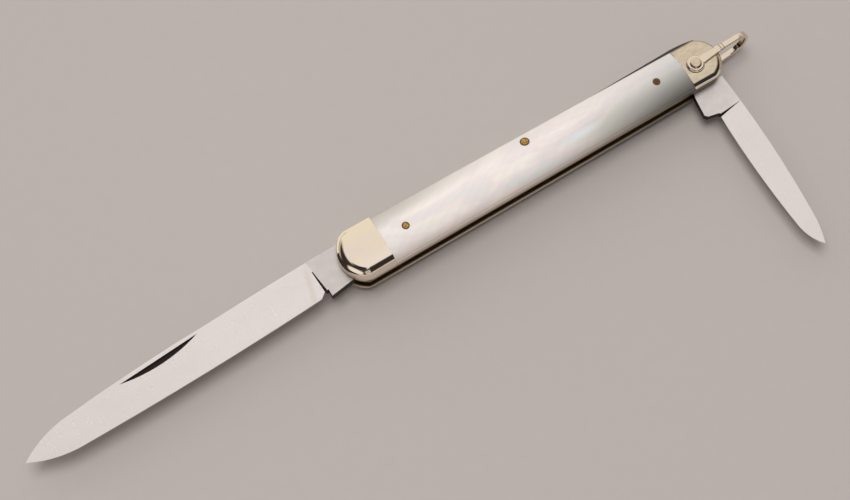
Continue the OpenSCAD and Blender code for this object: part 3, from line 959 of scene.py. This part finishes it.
class KNIFE_OT_bail(bpy.types.Operator):
    """Bend and polish the bail"""

    bl_idname = "knife.bail"
    bl_label = "Bail"

    def execute(self, context):
        bm = bmesh.new()
        self.loop(bm)
        self.eye(bm)
        pile_eye = bmesh.new()
        self.eye(pile_eye)
        on_pile_side(pile_eye, middle=0)
        merge_into(bm, pile_eye)
        turn(bm, BAIL_REST)
        shift(bm, (PEN_X, PEN_Y, MID_Z))
        nickel = polished_nickel_silver(context.scene.knife_colours, handled=0.3)
        finish_piece(bm, "bent_bail", "bail", [nickel], "bail")
        return {"FINISHED"}

    def loop(self, bm):
        """Both arms and the bend in one strip, from inside one eye to inside the other."""
        x = BAIL_L - WIRE_HALF_T - BEND_R
        y, z = WIRE_HALF_W - WIRE_CORNER, WIRE_HALF_T - WIRE_CORNER
        trace(bm, (x, WIRE_HALF_W, BEND_R - z),
              [(x, WIRE_HALF_W, BEND_R + z), ((x, y, BEND_R + z), 90, 5),
               (x, -y, BEND_R + WIRE_HALF_T), ((x, -y, BEND_R + z), 90, 5),
               (x, -WIRE_HALF_W, BEND_R - z), ((x, -y, BEND_R - z), 90, 5),
               (x, y, BEND_R - WIRE_HALF_T), ((x, y, BEND_R - z), 90, 5)], axis=(1, 0, 0))
        ring = bm.edges[:]
        result = bmesh.ops.spin(bm, geom=bm.verts[:] + ring, cent=(x, 0, 0), axis=(0, 1, 0),
                                angle=math.radians(180), steps=32)
        # station, centre height, half width and half thickness along an arm, from the bend to the
        # eye, with two narrow collars cut round the arm on the way
        eye_z, eye_half = EYE_LOW + EYE_T / 2, EYE_T / 2
        steps = ((8.2, 3.12, 0.6, 0.34), (6.45, eye_z - 0.18, 0.6, 0.3),
                 (6.38, eye_z - 0.17, 0.5, 0.22), (6.2, eye_z - 0.15, 0.5, 0.22),
                 (6.12, eye_z - 0.14, 0.68, 0.3), (5.8, eye_z - 0.1, 0.68, 0.3),
                 (5.72, eye_z - 0.09, 0.54, 0.23), (5.5, eye_z - 0.07, 0.54, 0.23),
                 (5.42, eye_z - 0.06, 0.74, 0.29), (4.75, eye_z - 0.02, 0.78, 0.26),
                 (4.65, eye_z, 0.64, eye_half - 0.02), (4.4, eye_z, 0.66, eye_half - 0.02),
                 (1.3, eye_z, 0.88, eye_half - 0.01))
        for edges, side in ((ring, 1), (made(result, EDGE, "geom_last"), -1)):
            now_z, now_w, now_t = BEND_R, WIRE_HALF_W, WIRE_HALF_T
            for station, next_z, next_w, next_t in steps:
                result = bmesh.ops.extrude_edge_only(bm, edges=edges)
                verts = made(result, VERT)
                edges = [e for e in made(result, EDGE) if all(v in verts for v in e.verts)]
                centre = sum((v.co for v in verts), Vector()) / len(verts)
                bmesh.ops.scale(bm, vec=(1, next_w / now_w, next_t / now_t),
                                space=Matrix.Translation(-centre), verts=verts)
                shift(bm, (station - centre.x, 0, side * (next_z - now_z)), verts)
                now_z, now_w, now_t = next_z, next_w, next_t
            bmesh.ops.contextual_create(bm, geom=edges)
        outward(bm)

    def eye(self, bm):
        """Add one ring eye over the mark side."""
        part = bmesh.new()
        for radius in (EYE_R, PIVOT_R + EYE_GAP):
            bmesh.ops.create_circle(part, radius=radius, segments=72)
        bmesh.ops.bridge_loops(part, edges=part.edges[:])
        top = made(bmesh.ops.extrude_face_region(part, geom=part.faces[:]), VERT)
        shift(part, (0, 0, EYE_T), top)
        rim = [e for e in part.edges if all(v in top for v in e.verts) and
               all(abs(v.co.xy.length - EYE_R) < 1e-3 for v in e.verts)]
        ease_edges(part, rim, 0.4, 8)
        outward(part)
        shift(part, (0, 0, EYE_LOW))
        merge_into(bm, part)


class KNIFE_OT_stage(bpy.types.Operator):
    """Lay the floor, hang the lights and place the camera"""

    bl_idname = "knife.stage"
    bl_label = "Stage"

    def execute(self, context):
        self.table(context.scene.knife_colours)
        self.sky()
        self.softbox()
        self.camera()
        context.scene.view_settings.view_transform = "Standard"
        return {"FINISHED"}

    def table(self, colours):
        bm = bmesh.new()
        bmesh.ops.create_circle(bm, cap_ends=True, radius=1.5, segments=96)
        mesh = as_mesh(bm, "table")
        mesh.materials.append(table_paper(colours))
        set_down("table", mesh)

    def sky(self):
        """What polished metal mirrors, what lights the rest, and what stands behind the table."""
        world = bpy.data.worlds.new("studio")
        bpy.context.scene.world = world
        world.use_nodes = True
        tree = world.node_tree
        tree.nodes.clear()
        toward = add(tree, "TexCoord").outputs["Generated"]
        x, y, z = add(tree, "SeparateXYZ", {"Vector": toward}).outputs
        bail_corner, flag, spot = (
            add(tree, "VectorMath", {0: toward, 1: direction}, operation="DOT_PRODUCT")
            for direction in ((1, -0.8, 0), (-0.25, -0.08, 0.965), (-0.76, -0.28, 0.59)))
        # a white tent over the spring's side, with a small dark flag in it that the near corner
        # of the main bolster mirrors
        tent = zone(tree, (x, -0.48, -0.3), (bail_corner, 0.88, 0.42), (y, -0.34, -0.2),
                    (flag, 0.982, 0.955))
        # a white card low along the near side, and a spot beside it
        card = zone(tree, (z, 0.27, 0.17), (y, -0.5, -0.75))
        whites = add(tree, "Math", {0: tent, 1: card}, operation="MAXIMUM")
        beam = zone(tree, (spot, 0.92, 0.96))
        lit = add(tree, "Math", {0: whites, 1: beam}, operation="MAXIMUM")
        # dark flags on the other sides, pale low down at the main end and where they leave a gap
        low = zone(tree, (z, 0.46, 0.34), (x, -0.88, -0.74))
        gap = zone(tree, (x, -0.42, -0.32), (x, 0.1, 0.04), (y, -0.38, -0.5))
        pale_flags = add(tree, "Math", {0: low, 1: gap}, operation="MAXIMUM")
        flags = add(tree, "Mix", {"Factor": pale_flags}, data_type="RGBA",
                    A=rgba("#35302C"), B=rgba("#CBC2B9"))
        shade = add(tree, "Mix", {"Factor": lit, "A": flags}, data_type="RGBA",
                    B=rgba("#FFFCF8"))
        mirrored = add(tree, "Background", {"Color": shade}, Strength=0.95)
        # matt surfaces get a fill that comes mostly from the spring's side
        strength = add(tree, "MapRange", {"Value": y}, From_Min=0.0, From_Max=1.0,
                       To_Min=0.2, To_Max=1.4)
        fill = add(tree, "Background", {"Strength": strength}, Color=rgba("#FFFFFF"))
        behind = add(tree, "Background", Color=rgba("#C9C0BA"), Strength=1.0)
        ray = add(tree, "LightPath")
        unseen = add(tree, "MixShader",
                     {"Fac": ray.outputs["Is Glossy Ray"], 1: fill, 2: mirrored})
        seen = add(tree, "MixShader",
                   {"Fac": ray.outputs["Is Camera Ray"], 1: unseen, 2: behind})
        add(tree, "OutputWorld", {"Surface": seen})

    def softbox(self):
        """A large soft box almost overhead, unseen by the metal, which mirrors the tent instead."""
        lamp = bpy.data.lights.new("overhead_softbox", "AREA")
        lamp.shape = "SQUARE"
        lamp.size = 0.36
        lamp.energy = 2.38
        key = set_down("overhead_softbox", lamp)
        key.visible_glossy = False
        aim = Vector((0.01, -0.004, 0.004))
        key.location = aim + 0.6 * Vector((-0.03, 0.085, 0.996))
        key.rotation_mode = "QUATERNION"
        key.rotation_quaternion = (aim - key.location).to_track_quat("-Z", "Y")

    def camera(self):
        azimuth, elevation = math.radians(-31.283), math.radians(70)
        back = Vector((math.sin(azimuth) * math.cos(elevation),
                       -math.cos(azimuth) * math.cos(elevation), math.sin(elevation)))
        data = bpy.data.cameras.new("copy_stand")
        data.sensor_width = 36
        data.lens = 64.63
        data.clip_start, data.clip_end = 0.01, 10
        camera = set_down("copy_stand", data)
        camera.location = Vector((-38.852, -83.293, 257.418)) * MM
        camera.rotation_mode = "QUATERNION"
        camera.rotation_quaternion = (-back).to_track_quat("-Z", "Y")
        bpy.context.scene.camera = camera


# the sidebar, and what runs

class KNIFE_PT_sidebar(bpy.types.Panel):
    """Lists the knife's pieces with their sizes and colours"""

    bl_label = "Pen Knife"
    bl_idname = "KNIFE_PT_sidebar"
    bl_space_type = "VIEW_3D"
    bl_region_type = "UI"
    bl_category = "Pen Knife"

    def draw(self, context):
        column = self.layout.column()
        for group in (context.scene.knife_sizes, context.scene.knife_colours):
            for key in group.bl_rna.properties.keys():
                if key not in ("rna_type", "name"):
                    column.prop(group, key)
        for operator in OPERATORS:
            column.operator(operator.bl_idname)


OPERATORS = (KNIFE_OT_stage, KNIFE_OT_blades, KNIFE_OT_bolsters, KNIFE_OT_scales,
             KNIFE_OT_spring_and_liners, KNIFE_OT_pins, KNIFE_OT_bail)
CLASSES = (KnifeSizes, KnifeColours, *OPERATORS, KNIFE_PT_sidebar)


def register():
    for kind in CLASSES:
        bpy.utils.register_class(kind)
    bpy.types.Scene.knife_sizes = bpy.props.PointerProperty(type=KnifeSizes)
    bpy.types.Scene.knife_colours = bpy.props.PointerProperty(type=KnifeColours)


def unregister():
    del bpy.types.Scene.knife_colours
    del bpy.types.Scene.knife_sizes
    for kind in reversed(CLASSES):
        bpy.utils.unregister_class(kind)


def main():
    register()
    bpy.ops.knife.stage()
    bpy.ops.knife.blades()
    bpy.ops.knife.bolsters()
    bpy.ops.knife.scales()
    bpy.ops.knife.spring_and_liners()
    bpy.ops.knife.pins()
    bpy.ops.knife.bail()


if __name__ == "__main__":
    main()
